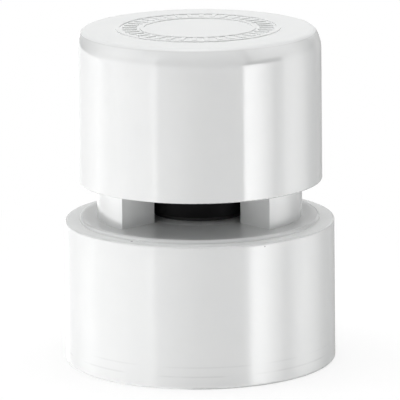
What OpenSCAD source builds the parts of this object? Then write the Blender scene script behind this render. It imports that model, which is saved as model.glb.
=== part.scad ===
// Air admittance valve for a plastic waste pipe.
// The cemented socket at the foot carries a valve body with two air windows under a snap-on cap.
// Inside the cap a rubber membrane on a guided carrier rests on two concentric seats.
// Suction in the pipe lifts the membrane, and outside air flows over the riser and down into the pipe.
// Millimetres. The origin is the centre of the socket's foot, and +Z points up along the pipe.

/* [Pipe socket] */
// Outside diameter of the waste pipe that is cemented into the socket
pipe_d = 40; // [32:1:50]
// Radial room for cement between the pipe and the socket
cement_gap = 0.15; // [0.05:0.05:0.3]
// Wall of the socket, measured at its top edge
socket_wall = 2.85; // [2.5:0.05:5]
// Height of the socket
socket_h = 24.3; // [20:0.1:40]
// How much wider the socket is at its foot than at its top, on the radius
socket_draft = 0.15; // [0:0.05:0.4]
// Radial depth of the lead-in chamfer at the socket's mouth
lead_in = 0.8; // [0.4:0.1:1.5]
// Height of the lead-in chamfer
lead_in_h = 1.6; // [0.8:0.1:3]
// Rounding of the socket's outer edge at the top
socket_top_round = 0.3; // [0.1:0.05:0.6]
// Rounding of the socket's outer edge at the foot
socket_foot_round = 0.5; // [0.2:0.05:0.9]

/* [Valve body] */
// Width of the shoulder that stops the pipe, on the radius
stop_w = 1.25; // [0.8:0.05:2]
// Length of the spigot inside the socket's neck
spigot_len = 5; // [3:0.1:8]
// Wall of the spigot
spigot_wall = 2; // [1.5:0.1:3]
// Radial room for cement between the spigot and the neck
spigot_gap = 0.05; // [0.02:0.01:0.1]
// How far the flange laps over the socket's neck, on the radius
flange_lap = 1.6; // [1:0.05:2.5]
// Height of the flange above the socket
flange_rise = 0.65; // [0.4:0.05:1.5]
// Rounding of the flange's outer edge
flange_round = 0.45; // [0.1:0.05:0.6]
// Thickness of the plate that closes the pipe
plate_t = 2.35; // [1.6:0.05:3]
// Step from the flange's edge in to the outside of the posts
post_setback = 3; // [2:0.1:4]
// Thickness of the posts, on the radius
post_w = 7.2; // [5:0.1:8]
// Angle that each of the two air windows spans
window_angle = 90; // [60:1:120]
// Height of the air windows
window_h = 6.9; // [5:0.1:12]
// Thickness of the ring that carries the outer seat
ring_t = 3.4; // [3:0.1:6]
// How far the ring stands out from the posts on its inner and outer side
ring_lip = 0.2; // [0.1:0.05:0.4]
// How far the ring's rim stands out from the posts
rim_w = 1.1; // [0.8:0.05:2]
// Height of the rim
rim_t = 2.4; // [2.2:0.1:2.8]
// Height of the seats above the ring
seat_rise = 1; // [0.6:0.1:2]
// Width of the flat land on each seat
seat_land = 0.6; // [0.4:0.05:0.8]
// Step from the ring's bore out to the outer seat's land
seat_setback = 1; // [0.5:0.1:1.5]
// Height of the boss around the riser
boss_rise = 0.45; // [0.3:0.05:0.7]
// Wall of the boss at its top
boss_wall = 1; // [0.8:0.1:1.3]
// Width of the slope from the boss's top down to the plate
boss_slope = 1.5; // [0.8:0.1:2]

/* [Riser] */
// Width of the air passage between the riser and the ring
intake_w = 3.3; // [2.6:0.1:4.2]
// Wall of the riser
riser_wall = 1.4; // [1.2:0.1:2]
// Radial play of the riser in the plate
riser_gap = 0.05; // [0.02:0.01:0.1]
// Thickness of the gasket between the riser's foot and the boss
gasket_t = 0.5; // [0.3:0.1:0.7]
// Gap between the posts and the riser's skirt, which hangs over the boss
skirt_gap = 0.7; // [0.4:0.05:1]
// Wall of the skirt
skirt_wall = 1; // [0.8:0.1:1.2]
// Height of the skirt
skirt_h = 2.4; // [1.5:0.1:2.8]
// Thickness of the skirt's roof
skirt_roof = 0.8; // [0.6:0.1:1.2]
// Gap between the plate and the skirt's lower edge
skirt_rise = 1.5; // [1.2:0.1:2]
// How far the snap bead under the plate stands out
riser_bead = 0.45; // [0.2:0.05:0.7]
// Length of the riser's tail below the snap bead
riser_tail = 0.8; // [0.2:0.1:2]

/* [Membrane and carrier] */
// Thickness of the membrane
membrane_t = 1.2; // [0.8:0.1:2]
// How far the membrane reaches past each seat's land
membrane_lap = 0.7; // [0.4:0.1:1]
// Thickness of the lip that holds the membrane on its carrier
lip_t = 0.6; // [0.4:0.1:1]
// How far that lip reaches in over the carrier
lip_w = 1; // [0.6:0.1:1.5]
// Thickness of the carrier's ring
carrier_t = 1.5; // [1:0.1:2.5]
// Radial play between the carrier and the membrane's lip
carrier_gap = 0.05; // [0.02:0.01:0.1]
// Number of arms between the carrier's hub and its ring
arm_count = 4; // [3:1:6]
// Width of each arm
arm_w = 1.3; // [0.8:0.1:2]
// Radius of the carrier's hub
hub_r = 3; // [2.6:0.1:3.6]
// Height of the hub and the arms above the carrier's ring
hub_h = 1.8; // [1:0.1:3]
// Radius of the guide stem
stem_r = 2; // [1.5:0.1:2.4]
// Travel of the membrane from its seats to the stop
lift = 4.5; // [2:0.1:6]

/* [Cap] */
// How far the cap's lower edge hangs below the top of the air windows
cap_drop = 0.65; // [0:0.05:1.5]
// Height of the cap
cap_h = 25.9; // [24:0.1:40]
// Wall of the cap at its lower edge
cap_wall = 2.25; // [1.6:0.05:3]
// How much narrower the cap is at its top than at its lower edge, on the radius
cap_draft = 0.1; // [0:0.05:0.4]
// Thickness of the cap's roof
cap_roof = 2.2; // [1.6:0.1:3]
// Radius of the cap's shoulder where it bends in from the wall
shoulder_r = 6; // [5:0.1:10]
// Height of the shoulder below the cap's top
shoulder_h = 3.6; // [2:0.1:4.5]
// Rounding of the cap's outer edge at the bottom
cap_edge_round = 0.25; // [0.1:0.05:0.5]
// Rounding between the shoulder and the flat top
top_edge_r = 1.2; // [0.6:0.1:1.8]
// Radial play between the rim and the cap
cap_gap = 0.1; // [0.05:0.05:0.2]
// How far the snap bead reaches under the rim
snap_reach = 0.35; // [0.2:0.05:0.6]
// Number of stop ribs inside the cap
rib_count = 8; // [4:1:16]
// Thickness of the stop ribs
rib_t = 1.2; // [0.8:0.1:2]
// How far the stop ribs reach in over the rim
rib_reach = 1.3; // [0.8:0.1:2]
// Radial play of the stem in the cap's guide tube
guide_gap = 0.08; // [0.04:0.01:0.1]
// Wall of the guide tube
guide_wall = 1.3; // [0.8:0.1:2]
// Section diameter of the sealing ring in the rim
seal_d = 1.2; // [0.8:0.1:1.4]

/* [Cap relief] */
// Height of the moulded relief on the cap's top
relief_h = 0.2; // [0.1:0.05:0.6]
// Radius of the relief's outer line
relief_r = 14; // [10:0.5:15]
// Radial length of the bars inside that line
relief_bar = 2.4; // [1:0.1:4]
// Gap between the bars and the lines on either side
relief_gap = 0.5; // [0.2:0.1:1]
// Number of bars
relief_count = 36; // [12:1:48]
// Width of the lines and bars
relief_w = 0.7; // [0.4:0.05:1]

/* [Hidden] */
$fn = 96;

// Overlap that lets joined shapes of one moulding grow together
weld = 0.4;
// Overshoot of a cutting shape past the face that it cuts
over = 1;
// Gap that keeps a ring seal clear of its groove and bore
seal_gap = 0.02;
// Gap between the snap bead and the underside of the rim
snap_gap = 0.05;
// Gap between the hub and the guide tube at the end of the lift
stop_gap = 0.1;
// Room above the stem at the end of the lift
stem_head = 0.5;
// Width of a bevel on a seat's flank
seat_bevel = 0.35;
// Rounding inside the moulded shells
inner_round = 1;

// Radii of the socket and the body, from the pipe inwards
bore_r = pipe_d / 2 + cement_gap;
socket_r = bore_r + socket_wall;
neck_r = bore_r - stop_w;
spigot_r = neck_r - spigot_gap;
spigot_in_r = spigot_r - spigot_wall;
flange_r = neck_r + flange_lap;
post_out_r = flange_r - post_setback;
post_in_r = post_out_r - post_w;
ring_in_r = post_in_r - ring_lip;
ring_out_r = post_out_r + ring_lip;
rim_r = post_out_r + rim_w;
seat_in_r = ring_in_r + seat_setback;
seat_out_r = seat_in_r + seat_land;

// Radii of the riser
riser_r = ring_in_r - intake_w;
riser_bore_r = riser_r - riser_wall;
riser_hole_r = riser_r + riser_gap;
riser_land_r = (riser_r + riser_bore_r + seat_land) / 2;
boss_r = riser_hole_r + boss_wall;
skirt_r = post_in_r - skirt_gap;

// Radii of the membrane and its carrier
membrane_in_r = riser_land_r - seat_land - membrane_lap;
carrier_r = seat_out_r + membrane_lap;
lip_out_r = carrier_r + carrier_gap + lip_t;
guide_r = stem_r + guide_gap;

// Radii of the cap
cap_bore_r = rim_r + cap_gap;
cap_r = cap_bore_r + cap_wall;
cap_top_r = cap_r - cap_draft;
shoulder_mid_r = cap_top_r - shoulder_r;
top_edge_mid_r = shoulder_mid_r + sqrt(pow(shoulder_r - top_edge_r, 2) - pow(shoulder_h - top_edge_r, 2));

// Heights, from the foot upwards
stop_z = socket_h - spigot_len;
plate_z = socket_h + flange_rise;
plate_low_z = plate_z - plate_t;
boss_z = plate_z + boss_rise;
gasket_z = boss_z + gasket_t;
skirt_z = plate_z + skirt_rise;
ring_z = plate_z + window_h;
ring_top_z = ring_z + ring_t;
rim_z = ring_top_z - rim_t;
seat_z = ring_top_z + seat_rise;
carrier_z = seat_z + membrane_t;
carrier_top_z = carrier_z + carrier_t;
hub_top_z = carrier_top_z + hub_h;
cap_z = ring_z - cap_drop;
cap_top_z = cap_z + cap_h;
roof_z = cap_top_z - cap_roof;
guide_z = hub_top_z + lift + stop_gap;
stem_top_z = roof_z - stem_head - lift;
seal_z = ring_top_z - rim_t / 2;

// Takes the sharp corner off a profile at [r, z]. The signs point from the corner into the material.
module round_off(r, z, radius, r_sign, z_sign) {
    difference() {
        translate([r + r_sign * (radius - over) / 2, z + z_sign * (radius - over) / 2])
            square(radius + over, center = true);
        translate([r + r_sign * radius, z + z_sign * radius])
            circle(radius);
    }
}

// A plain ring between two radii and two heights
module ring(r_in, r_out, z_low, z_high) {
    rotate_extrude()
        translate([r_in, z_low])
            square([r_out - r_in, z_high - z_low]);
}

module socket_sleeve() {
    color("white")
        rotate_extrude()
            difference() {
                polygon([
                    [bore_r + lead_in, 0],
                    [socket_r + socket_draft, 0],
                    [socket_r, socket_h],
                    [neck_r, socket_h],
                    [neck_r, stop_z],
                    [bore_r, stop_z],
                    [bore_r, lead_in_h]
                ]);
                round_off(socket_r + socket_draft, 0, socket_foot_round, -1, 1);
                round_off(socket_r, socket_h, socket_top_round, -1, -1);
            }
}

// Plate, flange, spigot and boss, turned about the pipe's axis
module body_foot() {
    rotate_extrude()
        difference() {
            polygon([
                [riser_hole_r, plate_low_z],
                [spigot_in_r - inner_round, plate_low_z],
                [spigot_in_r, plate_low_z - inner_round],
                [spigot_in_r, stop_z],
                [spigot_r, stop_z],
                [spigot_r, socket_h],
                [flange_r, socket_h],
                [flange_r, plate_z],
                [boss_r + boss_slope, plate_z],
                [boss_r, boss_z],
                [riser_hole_r, boss_z]
            ]);
            round_off(flange_r, plate_z, flange_round, -1, -1);
        }
}

// Ring on top of the posts, with the outer seat, the rim and the groove for the seal
module body_ring() {
    groove_r = cap_bore_r - seal_d - 2 * seal_gap;
    groove_low_z = seal_z - seal_d / 2 - seal_gap;
    groove_high_z = seal_z + seal_d / 2 + seal_gap;
    rotate_extrude()
        polygon([
            [ring_in_r, ring_z],
            [ring_out_r, ring_z],
            [ring_out_r, rim_z],
            [rim_r, rim_z],
            [rim_r, groove_low_z],
            [groove_r, groove_low_z],
            [groove_r, groove_high_z],
            [rim_r, groove_high_z],
            [rim_r, ring_top_z],
            [seat_out_r + seat_bevel, ring_top_z],
            [seat_out_r, seat_z],
            [seat_in_r, seat_z],
            [seat_in_r - seat_bevel, ring_top_z],
            [ring_in_r, ring_top_z]
        ]);
}

// One post with radial sides, centred on +X
module post() {
    post_angle = 180 - window_angle;
    rotate([0, 0, -post_angle / 2])
        rotate_extrude(angle = post_angle)
            translate([post_in_r, plate_z - weld])
                square([post_w, window_h + 2 * weld]);
}

module valve_body() {
    color("white")
        union() {
            body_foot();
            body_ring();
            for (turn = [0, 180])
                rotate([0, 0, turn]) post();
        }
}

module riser_tube() {
    bead_z = plate_low_z - snap_gap;
    bead_low_z = bead_z - 2 * riser_bead;
    skirt_in_r = skirt_r - skirt_wall;
    skirt_top_z = skirt_z + skirt_h;
    skirt_roof_z = skirt_top_z - skirt_roof;
    color("#202022")
        rotate_extrude()
            polygon([
                [riser_bore_r, bead_low_z - riser_tail],
                [riser_r, bead_low_z - riser_tail],
                [riser_r, bead_low_z],
                [riser_r + riser_bead, bead_z - riser_bead],
                [riser_r + riser_bead, bead_z],
                [riser_r, bead_z],
                [riser_r, gasket_z],
                [boss_r, gasket_z],
                [boss_r, skirt_roof_z],
                [skirt_in_r, skirt_roof_z],
                [skirt_in_r, skirt_z],
                [skirt_r, skirt_z],
                [skirt_r, skirt_top_z],
                [riser_r, skirt_top_z],
                [riser_r, seat_z - seat_rise],
                [riser_land_r, seat_z],
                [riser_land_r - seat_land, seat_z],
                [riser_bore_r, seat_z - seat_bevel]
            ]);
}

module riser_gasket() {
    color("#161616")
        ring(riser_hole_r, boss_r, boss_z, gasket_z);
}

module membrane() {
    color("#141414")
        rotate_extrude()
            polygon([
                [membrane_in_r, seat_z],
                [lip_out_r, seat_z],
                [lip_out_r, carrier_top_z + lip_t],
                [carrier_r - lip_w, carrier_top_z + lip_t],
                [carrier_r - lip_w, carrier_top_z],
                [carrier_r + carrier_gap, carrier_top_z],
                [carrier_r + carrier_gap, carrier_z],
                [membrane_in_r, carrier_z]
            ]);
}

module membrane_carrier() {
    color("gainsboro")
        union() {
            ring(riser_bore_r, carrier_r, carrier_z, carrier_top_z);
            ring(riser_bore_r, riser_bore_r + arm_w, carrier_top_z - weld, hub_top_z - hub_h / 2);
            for (i = [0 : arm_count - 1])
                rotate([0, 0, i * 360 / arm_count])
                    translate([0, -arm_w / 2, carrier_z])
                        cube([riser_bore_r + arm_w / 2, arm_w, hub_top_z - hub_h / 2 - carrier_z]);
            translate([0, 0, carrier_z])
                cylinder(r = hub_r, h = hub_top_z - carrier_z);
            translate([0, 0, hub_top_z - weld])
                cylinder(r = stem_r, h = stem_top_z - stem_r / 2 - hub_top_z + weld);
            translate([0, 0, stem_top_z - stem_r / 2])
                cylinder(r1 = stem_r, r2 = stem_r / 2, h = stem_r / 2);
        }
}

module cap_seal() {
    color("#161616")
        rotate_extrude()
            translate([cap_bore_r - seal_gap - seal_d / 2, seal_z])
                circle(d = seal_d);
}

// Takes the cap's top corner off along two arcs: the shoulder, and the rounding where it meets the flat top
module shoulder_cut() {
    edge_mid_z = cap_top_z - top_edge_r;
    arc_step_r = top_edge_mid_r - shoulder_mid_r;
    arc_step_z = shoulder_h - top_edge_r;
    difference() {
        translate([shoulder_mid_r, cap_top_z - shoulder_h])
            square([shoulder_r + over, shoulder_h + over]);
        translate([shoulder_mid_r, cap_top_z - shoulder_h])
            circle(shoulder_r);
    }
    difference() {
        polygon([
            [top_edge_mid_r, edge_mid_z],
            [top_edge_mid_r + arc_step_r, edge_mid_z + arc_step_z],
            [top_edge_mid_r, edge_mid_z + arc_step_z]
        ]);
        translate([top_edge_mid_r, edge_mid_z])
            circle(top_edge_r);
    }
}

// Outside and inside of the cap, with the snap bead near its lower edge
module cap_shell() {
    bead_z = rim_z - snap_gap;
    rotate_extrude()
        difference() {
            polygon([
                [cap_bore_r, cap_z],
                [cap_r, cap_z],
                [cap_top_r, cap_top_z - shoulder_h],
                [cap_top_r, cap_top_z],
                [0, cap_top_z],
                [0, roof_z],
                [cap_bore_r - inner_round, roof_z],
                [cap_bore_r, roof_z - inner_round],
                [cap_bore_r, bead_z],
                [cap_bore_r - snap_reach, bead_z],
                [cap_bore_r - snap_reach, bead_z - snap_reach],
                [cap_bore_r, bead_z - 2 * snap_reach]
            ]);
            shoulder_cut();
            round_off(cap_r, cap_z, cap_edge_round, -1, 1);
        }
}

// Ribs that stand on the rim and stop the cap
module cap_ribs() {
    for (i = [0 : rib_count - 1])
        rotate([0, 0, (i + 0.5) * 360 / rib_count])
            translate([rim_r - rib_reach, -rib_t / 2, ring_top_z])
                cube([rib_reach + cap_gap + weld, rib_t, roof_z + weld - ring_top_z]);
}

// Plain ring of short bars between two round lines
module cap_relief() {
    low_z = cap_top_z - weld;
    high_z = cap_top_z + relief_h;
    bar_in_r = relief_r - relief_w - relief_gap - relief_bar;
    line_out_r = bar_in_r - relief_gap;
    ring(relief_r - relief_w, relief_r, low_z, high_z);
    ring(line_out_r - relief_w, line_out_r, low_z, high_z);
    for (i = [0 : relief_count - 1])
        rotate([0, 0, i * 360 / relief_count])
            translate([bar_in_r, -relief_w / 2, low_z])
                cube([relief_bar, relief_w, high_z - low_z]);
}

module cap() {
    color("white")
        union() {
            cap_shell();
            cap_ribs();
            ring(guide_r, guide_r + guide_wall, guide_z, roof_z + weld);
            cap_relief();
        }
}

socket_sleeve();
valve_body();
riser_tube();
riser_gasket();
membrane();
membrane_carrier();
cap_seal();
cap();
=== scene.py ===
import math

import bpy
from mathutils import Matrix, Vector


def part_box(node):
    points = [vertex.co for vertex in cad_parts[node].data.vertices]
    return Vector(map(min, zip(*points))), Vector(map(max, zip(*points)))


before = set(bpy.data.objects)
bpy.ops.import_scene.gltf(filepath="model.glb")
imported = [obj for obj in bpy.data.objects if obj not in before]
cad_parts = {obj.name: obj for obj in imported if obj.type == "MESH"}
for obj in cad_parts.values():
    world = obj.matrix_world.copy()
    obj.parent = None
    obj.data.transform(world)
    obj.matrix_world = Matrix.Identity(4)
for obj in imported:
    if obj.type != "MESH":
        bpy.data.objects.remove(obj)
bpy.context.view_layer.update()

MM = 0.001
WHITE = (1, 1, 1, 1)

# Camera, fitted to the photograph: it stands a little to the right of the front window's middle
CAMERA_TURN = math.radians(3.0)
CAMERA_RISE = math.radians(12.4)
CAMERA_ROLL = math.radians(-0.51)
CAMERA_DISTANCE = 669.2 * MM
CAMERA_LENS = 352.8
SENSOR_WIDTH = 36.0
AIM_SIDE = 0.08 * MM
AIM_HEIGHT = 27.32 * MM

# Studio: each panel has its level, then four soft edges in degrees round the object and four above the
# horizon. Round the object 0 is towards the camera and right is positive. The lamps light the object.
# Only its reflections see the cards, below the horizon too because they pass through the floor.
ALL_ROUND = (-182, -181, 181, 182)
LEFT_ROUND = (-145, -78, -46, -36)
BACK_LEFT_ROUND = (-182, -181, -160, -130)
BACK_RIGHT_ROUND = (130, 160, 181, 182)
BACK_RISE = (-5, 5, 20, 35)
BELOW_HORIZON = (-92, -91, -1, 0)
UP_TO_HORIZON = (-92, -91, 2, 10)
LAMPS = {
    "top": (6.6, ALL_ROUND, (65, 75, 91, 92)),
    "left_side": (2.2, (-112, -82, -58, -46), (-1, 0, 18, 26)),
    "left_high": (1.5, (-150, -130, -85, -70), (30, 38, 58, 65)),
    "front_side": (0.5, (-50, -40, 40, 50), (-1, 0, 4, 8)),
    "right_side": (1.6, (45, 60, 130, 170), (-1, 0, 8, 14)),
    "right_high": (0.9, (50, 62, 130, 170), (22, 30, 40, 50)),
    "back_left": (0.6, BACK_LEFT_ROUND, BACK_RISE),
    "back_right": (0.6, BACK_RIGHT_ROUND, BACK_RISE),
}
CARDS = {
    "table": (0.4, ALL_ROUND, BELOW_HORIZON),
    "front": (1.6, (-48, -38, 41, 44), UP_TO_HORIZON),
    "front_left": (0.8, (-48, -40, -36, 10), UP_TO_HORIZON),
    "front_upper": (1.5, (-48, -38, 41, 50), (2, 10, 40, 60)),
    "left": (3.3, LEFT_ROUND, UP_TO_HORIZON),
    "left_upper": (2.5, LEFT_ROUND, (2, 10, 20, 60)),
    "left_far": (1.2, (-182, -181, -110, -90), BELOW_HORIZON),
    "right_strip": (5.2, (41, 44, 44, 92), (-92, -91, -2, 4)),
    "right": (2.1, (78, 90, 95, 135), (-92, -91, 4, 16)),
    "right_upper": (1.8, (41, 60, 95, 135), (4, 16, 40, 60)),
    "right_edge": (0.8, (79, 80, 81, 82), BELOW_HORIZON),
    "top": (1.0, ALL_ROUND, (50, 75, 91, 92)),
    "back_left": (0.6, BACK_LEFT_ROUND, BACK_RISE),
    "back_right": (0.6, BACK_RIGHT_ROUND, BACK_RISE),
}

# Floor, and the part of it round the object that shows some of the shadow to the camera
FLOOR_SIZE = 4.0
FLOOR_WHITE = 0.95
FLOOR_ROUGHNESS = 0.9
SHADOW_SHARE = 0.3
SHADOW_NEAR = 40 * MM
SHADOW_FAR = 120 * MM

# Noise stays mostly between these two values, so ramps spread that range
NOISE_RANGE = (0.3, 0.7)

# White PVC: the two tones of its clouds, then its gloss grain, its orange peel and its gloss
PVC_TONES = ((0.79, 0.80, 0.80), (0.83, 0.835, 0.83))
CLOUD_SIZE = 6 * MM
GLOSS_GRAIN_SIZE = 0.5 * MM
PEEL_SIZE = 1.2 * MM
PEEL_STRENGTH = 0.03
PEEL_HEIGHT = 0.05 * MM
PVC_IOR = 1.52
PVC_GLOSS = 0.95

# Satin top of the cap: its roughness, how far it reaches down from the top, and the blend below it
SATIN_ROUGHNESS = 0.65
SATIN_DEPTH = 0.3 * MM
SATIN_BLEND = 0.6 * MM

# Fine turned lines on the sleeve
LINE_PITCH = 0.5 * MM
LINE_STRENGTH = 0.25
LINE_DEPTH = 0.01 * MM

# Two painted shade lines near the sleeve's foot, standing in for two small steps there, by height and share
# of grey, broken up by the clouds
FOOT_SHADE_LINES = ((2.2 * MM, 0.22), (3.8 * MM, 0.15))
FOOT_SHADE_LINE_WIDTH = 0.18 * MM
STEP_SHADE_GREY = (0.5, 0.51, 0.51)
SHADE_PATCH_RANGE = (0.4, 0.6)

# Dark specks on the sleeve's rim: place and radius
SPECKS = (
    ((-10.4 * MM, -18.4 * MM, 24.3 * MM), 0.3 * MM),
    ((11.8 * MM, -19.7 * MM, 23.8 * MM), 0.15 * MM),
)
SPECK_GREY = (0.25, 0.25, 0.26)

# Bump of the black pieces' grain
GRAIN_STRENGTH = 0.1
GRAIN_HEIGHT = 0.02 * MM

# Milky polypropylene of the membrane's carrier
MILKY_TONES = ((0.68, 0.68, 0.64), (0.76, 0.76, 0.74))
MILKY_ROUGHNESS = (0.3, 0.42)
MILKY_CLOUD_SIZE = 3 * MM
MILKY_CLOUD_DETAIL = 4.0
MILKY_SUBSURFACE = 0.15
MILKY_RADIUS = (1 * MM, 1 * MM, 1 * MM)


def node(tree, kind, inputs=None, **properties):
    """Adds a shader node, sets its properties, and links or sets its inputs."""
    made = tree.nodes.new("ShaderNode" + kind)
    for name, value in properties.items():
        setattr(made, name, value)
    for socket, value in (inputs or {}).items():
        if isinstance(value, bpy.types.NodeSocket):
            tree.links.new(value, made.inputs[socket])
        else:
            made.inputs[socket].default_value = value
    return made


def math_node(tree, operation, *values):
    """A Math node's result."""
    return node(tree, "Math", dict(enumerate(values)), operation=operation).outputs[0]


def ramp(tree, value, start, end, low=0.0, high=1.0):
    """A smooth step from low to high while value goes from start to end."""
    inputs = {"Value": value, "From Min": start, "From Max": end, "To Min": low, "To Max": high}
    return node(tree, "MapRange", inputs, interpolation_type="SMOOTHSTEP").outputs["Result"]


def band(tree, value, edges):
    """1 between the two middle edges, and 0 outside the two outer ones."""
    rise = ramp(tree, value, edges[0], edges[1])
    fall = ramp(tree, value, edges[2], edges[3], 1.0, 0.0)
    return math_node(tree, "MULTIPLY", rise, fall)


def new_material(name):
    """A node material with its tree and its Principled shader."""
    material = bpy.data.materials.new(name)
    material.use_nodes = True
    tree = material.node_tree
    return material, tree, tree.nodes["Principled BSDF"]


def object_position(tree):
    """The shaded point's place in the part's own frame, in metres."""
    return node(tree, "TexCoord").outputs["Object"]


def noise(tree, position, size, detail=2.0):
    """Noise whose features are about size metres wide."""
    inputs = {"Vector": position, "Scale": 1 / size, "Detail": detail}
    return node(tree, "TexNoise", inputs).outputs["Fac"]


def mix_colour(tree, factor, first, second):
    """The first colour where factor is 0, and the second one where it is 1."""
    mixed = node(tree, "Mix", {"Factor": factor}, data_type="RGBA")
    colour_in = [socket for socket in mixed.inputs if socket.type == "RGBA"]
    for socket, colour in zip(colour_in, (first, second)):
        if isinstance(colour, bpy.types.NodeSocket):
            tree.links.new(colour, socket)
        else:
            socket.default_value = (*colour, 1)
    return [socket for socket in mixed.outputs if socket.type == "RGBA"][0]


def turned_bump(tree, height, bump):
    """Adds the fine turned lines to a bump."""
    inputs = {"W": height, "Scale": 1 / LINE_PITCH, "Detail": 2.0}
    stripe = node(tree, "TexNoise", inputs, noise_dimensions="1D").outputs["Fac"]
    inputs = {"Height": stripe, "Strength": LINE_STRENGTH, "Distance": LINE_DEPTH, "Normal": bump}
    return node(tree, "Bump", inputs).outputs["Normal"]


def shade_lines_and_specks(tree, position, height, cloud, colour):
    """Adds the foot's painted shade lines, which stand in for two small steps, and the rim's specks to a
    colour.
    """
    half = FOOT_SHADE_LINE_WIDTH / 2
    # Painted shade: grey lines standing in for the shade of two small steps round the foot
    for shade_line_z, shade_share in FOOT_SHADE_LINES:
        edges = (shade_line_z - 2 * half, shade_line_z - half, shade_line_z + half, shade_line_z + 2 * half)
        shade_line = math_node(tree, "MULTIPLY", band(tree, height, edges), shade_share)
        patchy_shade = math_node(tree, "MULTIPLY", shade_line, ramp(tree, cloud, *SHADE_PATCH_RANGE))
        colour = mix_colour(tree, patchy_shade, colour, STEP_SHADE_GREY)
    for place, radius in SPECKS:
        reach = node(tree, "VectorMath", {0: position, 1: place}, operation="DISTANCE").outputs["Value"]
        colour = mix_colour(tree, ramp(tree, reach, radius / 2, radius, 1.0, 0.0), colour, SPECK_GREY)
    return colour


def white_pvc(name, roughness, turned=False, satin_above=None):
    """Glossy white PVC with faint clouds and a fine orange-peel skin.

    A turned piece has fine lines round it, painted shade lines near its foot and specks on its rim, and
    satin_above is the height where a satin top begins.
    """
    material, tree, shader = new_material(name)
    position = object_position(tree)
    height = node(tree, "SeparateXYZ", {0: position}).outputs["Z"]
    cloud = noise(tree, position, CLOUD_SIZE)
    colour = mix_colour(tree, cloud, *PVC_TONES)
    grain = noise(tree, position, GLOSS_GRAIN_SIZE)
    rough = ramp(tree, grain, *NOISE_RANGE, *roughness)
    if satin_above is not None:
        satin = ramp(tree, height, satin_above - SATIN_BLEND, satin_above, 0.0, SATIN_ROUGHNESS)
        rough = math_node(tree, "MAXIMUM", rough, satin)
    peel = noise(tree, position, PEEL_SIZE)
    inputs = {"Height": peel, "Strength": PEEL_STRENGTH, "Distance": PEEL_HEIGHT}
    bump = node(tree, "Bump", inputs).outputs["Normal"]
    if turned:
        bump = turned_bump(tree, height, bump)
        colour = shade_lines_and_specks(tree, position, height, cloud, colour)
    tree.links.new(colour, shader.inputs["Base Color"])
    tree.links.new(rough, shader.inputs["Roughness"])
    tree.links.new(bump, shader.inputs["Normal"])
    shader.inputs["IOR"].default_value = PVC_IOR
    shader.inputs["Specular IOR Level"].default_value = PVC_GLOSS
    return material


def dark_polymer(name, tones, roughness, grain_size, specular):
    """Dull black plastic or rubber with a fine grain."""
    material, tree, shader = new_material(name)
    grain = noise(tree, object_position(tree), grain_size)
    tree.links.new(mix_colour(tree, grain, *tones), shader.inputs["Base Color"])
    tree.links.new(ramp(tree, grain, *NOISE_RANGE, *roughness), shader.inputs["Roughness"])
    bump = node(tree, "Bump", {"Height": grain, "Strength": GRAIN_STRENGTH, "Distance": GRAIN_HEIGHT})
    tree.links.new(bump.outputs["Normal"], shader.inputs["Normal"])
    shader.inputs["Specular IOR Level"].default_value = specular
    return material


def natural_plastic(name):
    """Milky polypropylene with faint flow clouds."""
    material, tree, shader = new_material(name)
    cloud = noise(tree, object_position(tree), MILKY_CLOUD_SIZE, MILKY_CLOUD_DETAIL)
    tree.links.new(mix_colour(tree, cloud, *MILKY_TONES), shader.inputs["Base Color"])
    tree.links.new(ramp(tree, cloud, *NOISE_RANGE, *MILKY_ROUGHNESS), shader.inputs["Roughness"])
    shader.inputs["Subsurface Weight"].default_value = MILKY_SUBSURFACE
    shader.inputs["Subsurface Radius"].default_value = MILKY_RADIUS
    return material


def dress_nodes():
    """Gives each CAD node its finish."""
    # The riser's colour is partly its own black and partly painted shade: it is darker than black plastic,
    # so that it stands in for the deep shade round it inside the windows
    black_and_painted_shade = dark_polymer("black_with_painted_shade", tones=((0.004, 0.004, 0.0045), (0.007, 0.007, 0.0075)),
                         roughness=(0.35, 0.45), grain_size=0.6 * MM, specular=0.04)
    rubber = dark_polymer("black_rubber", tones=((0.014, 0.014, 0.014), (0.024, 0.024, 0.024)),
                          roughness=(0.6, 0.75), grain_size=0.3 * MM, specular=0.3)
    finishes = {
        "socket_sleeve": white_pvc("turned_pvc", roughness=(0.16, 0.22), turned=True),
        "valve_body": white_pvc("moulded_pvc", roughness=(0.10, 0.15)),
        "cap": white_pvc("polished_pvc", roughness=(0.09, 0.13),
                         satin_above=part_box("cap")[1][2] - SATIN_DEPTH),
        "riser_tube": black_and_painted_shade,
        "riser_gasket": rubber,
        "membrane": rubber,
        "cap_seal": rubber,
        "membrane_carrier": natural_plastic("natural_polypropylene"),
    }
    for name, material in finishes.items():
        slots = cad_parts[name].data.materials
        slots.clear()
        slots.append(material)


def panel_sum(tree, panels, azimuth, rise):
    """The panels' light from one direction."""
    level = 0.0
    for strength, round_edges, rise_edges in panels.values():
        shape = math_node(tree, "MULTIPLY", band(tree, azimuth, round_edges), band(tree, rise, rise_edges))
        level = math_node(tree, "MULTIPLY_ADD", shape, strength, level)
    return level


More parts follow.
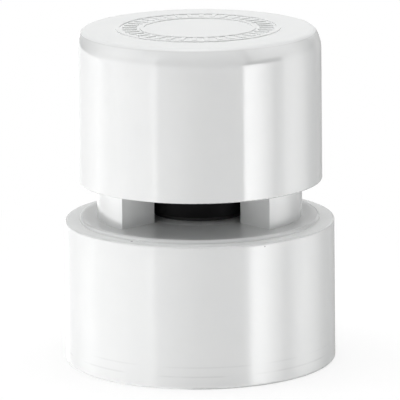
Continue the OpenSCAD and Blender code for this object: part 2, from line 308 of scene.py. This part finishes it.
def make_world():
    """White to the camera, the cards to reflections, and the lamps to everything else."""
    world = bpy.data.worlds.new("studio")
    bpy.context.scene.world = world
    world.use_nodes = True
    tree = world.node_tree
    tree.nodes.clear()
    direction = node(tree, "TexCoord").outputs["Generated"]
    facing = node(tree, "VectorRotate", {"Vector": direction, "Angle": -CAMERA_TURN}, rotation_type="Z_AXIS")
    axes = node(tree, "SeparateXYZ", {0: facing.outputs[0]})
    front = math_node(tree, "MULTIPLY", axes.outputs["Y"], -1.0)
    azimuth = math_node(tree, "DEGREES", math_node(tree, "ARCTAN2", axes.outputs["X"], front))
    rise = math_node(tree, "DEGREES", math_node(tree, "ARCSINE", axes.outputs["Z"]))
    lamps = panel_sum(tree, LAMPS, azimuth, rise)
    cards = panel_sum(tree, CARDS, azimuth, rise)
    path = node(tree, "LightPath").outputs
    level = node(tree, "Mix", {"Factor": path["Is Glossy Ray"], "A": lamps, "B": cards}).outputs["Result"]
    studio = node(tree, "Background", {"Color": WHITE, "Strength": level})
    white = node(tree, "Background", {"Color": WHITE, "Strength": 1.0})
    mixed = node(tree, "MixShader", {0: path["Is Camera Ray"], 1: studio.outputs[0], 2: white.outputs[0]})
    node(tree, "OutputWorld", {"Surface": mixed.outputs[0]})


def make_floor():
    """Pale floor that is white to the camera, apart from the object's own faint shadow."""
    bpy.ops.mesh.primitive_plane_add(size=FLOOR_SIZE)
    floor = bpy.context.object
    floor.name = "floor"
    material, tree, shader = new_material("floor_white")
    shader.inputs["Base Color"].default_value = (FLOOR_WHITE, FLOOR_WHITE, FLOOR_WHITE, 1)
    shader.inputs["Roughness"].default_value = FLOOR_ROUGHNESS
    shader.inputs["Specular IOR Level"].default_value = 0.0
    reach = node(tree, "VectorMath", {0: object_position(tree)}, operation="LENGTH").outputs["Value"]
    white_share = ramp(tree, reach, SHADOW_NEAR, SHADOW_FAR, 1 - SHADOW_SHARE, 1.0)
    to_camera = node(tree, "LightPath").outputs["Is Camera Ray"]
    share = math_node(tree, "MULTIPLY", white_share, to_camera)
    white = node(tree, "Emission", {"Color": WHITE, "Strength": 1.0})
    mixed = node(tree, "MixShader", {0: share, 1: shader.outputs[0], 2: white.outputs[0]})
    tree.links.new(mixed.outputs[0], tree.nodes["Material Output"].inputs["Surface"])
    floor.data.materials.append(material)
    floor.visible_glossy = False


def make_camera():
    """Stands the camera where the photograph was taken from."""
    data = bpy.data.cameras.new("camera")
    data.lens = CAMERA_LENS
    data.sensor_width = SENSOR_WIDTH
    camera = bpy.data.objects.new("camera", data)
    bpy.context.scene.collection.objects.link(camera)
    turn = Matrix.Rotation(CAMERA_TURN, 4, "Z")
    tilt = Matrix.Rotation(math.pi / 2 - CAMERA_RISE, 4, "X")
    roll = Matrix.Rotation(CAMERA_ROLL, 4, "Z")
    aim = turn @ Matrix.Translation((AIM_SIDE, 0, AIM_HEIGHT))
    camera.matrix_world = aim @ tilt @ roll @ Matrix.Translation((0, 0, CAMERA_DISTANCE))
    bpy.context.scene.camera = camera


make_camera()
make_world()
make_floor()
dress_nodes()
bpy.context.scene.view_settings.view_transform = "Standard"
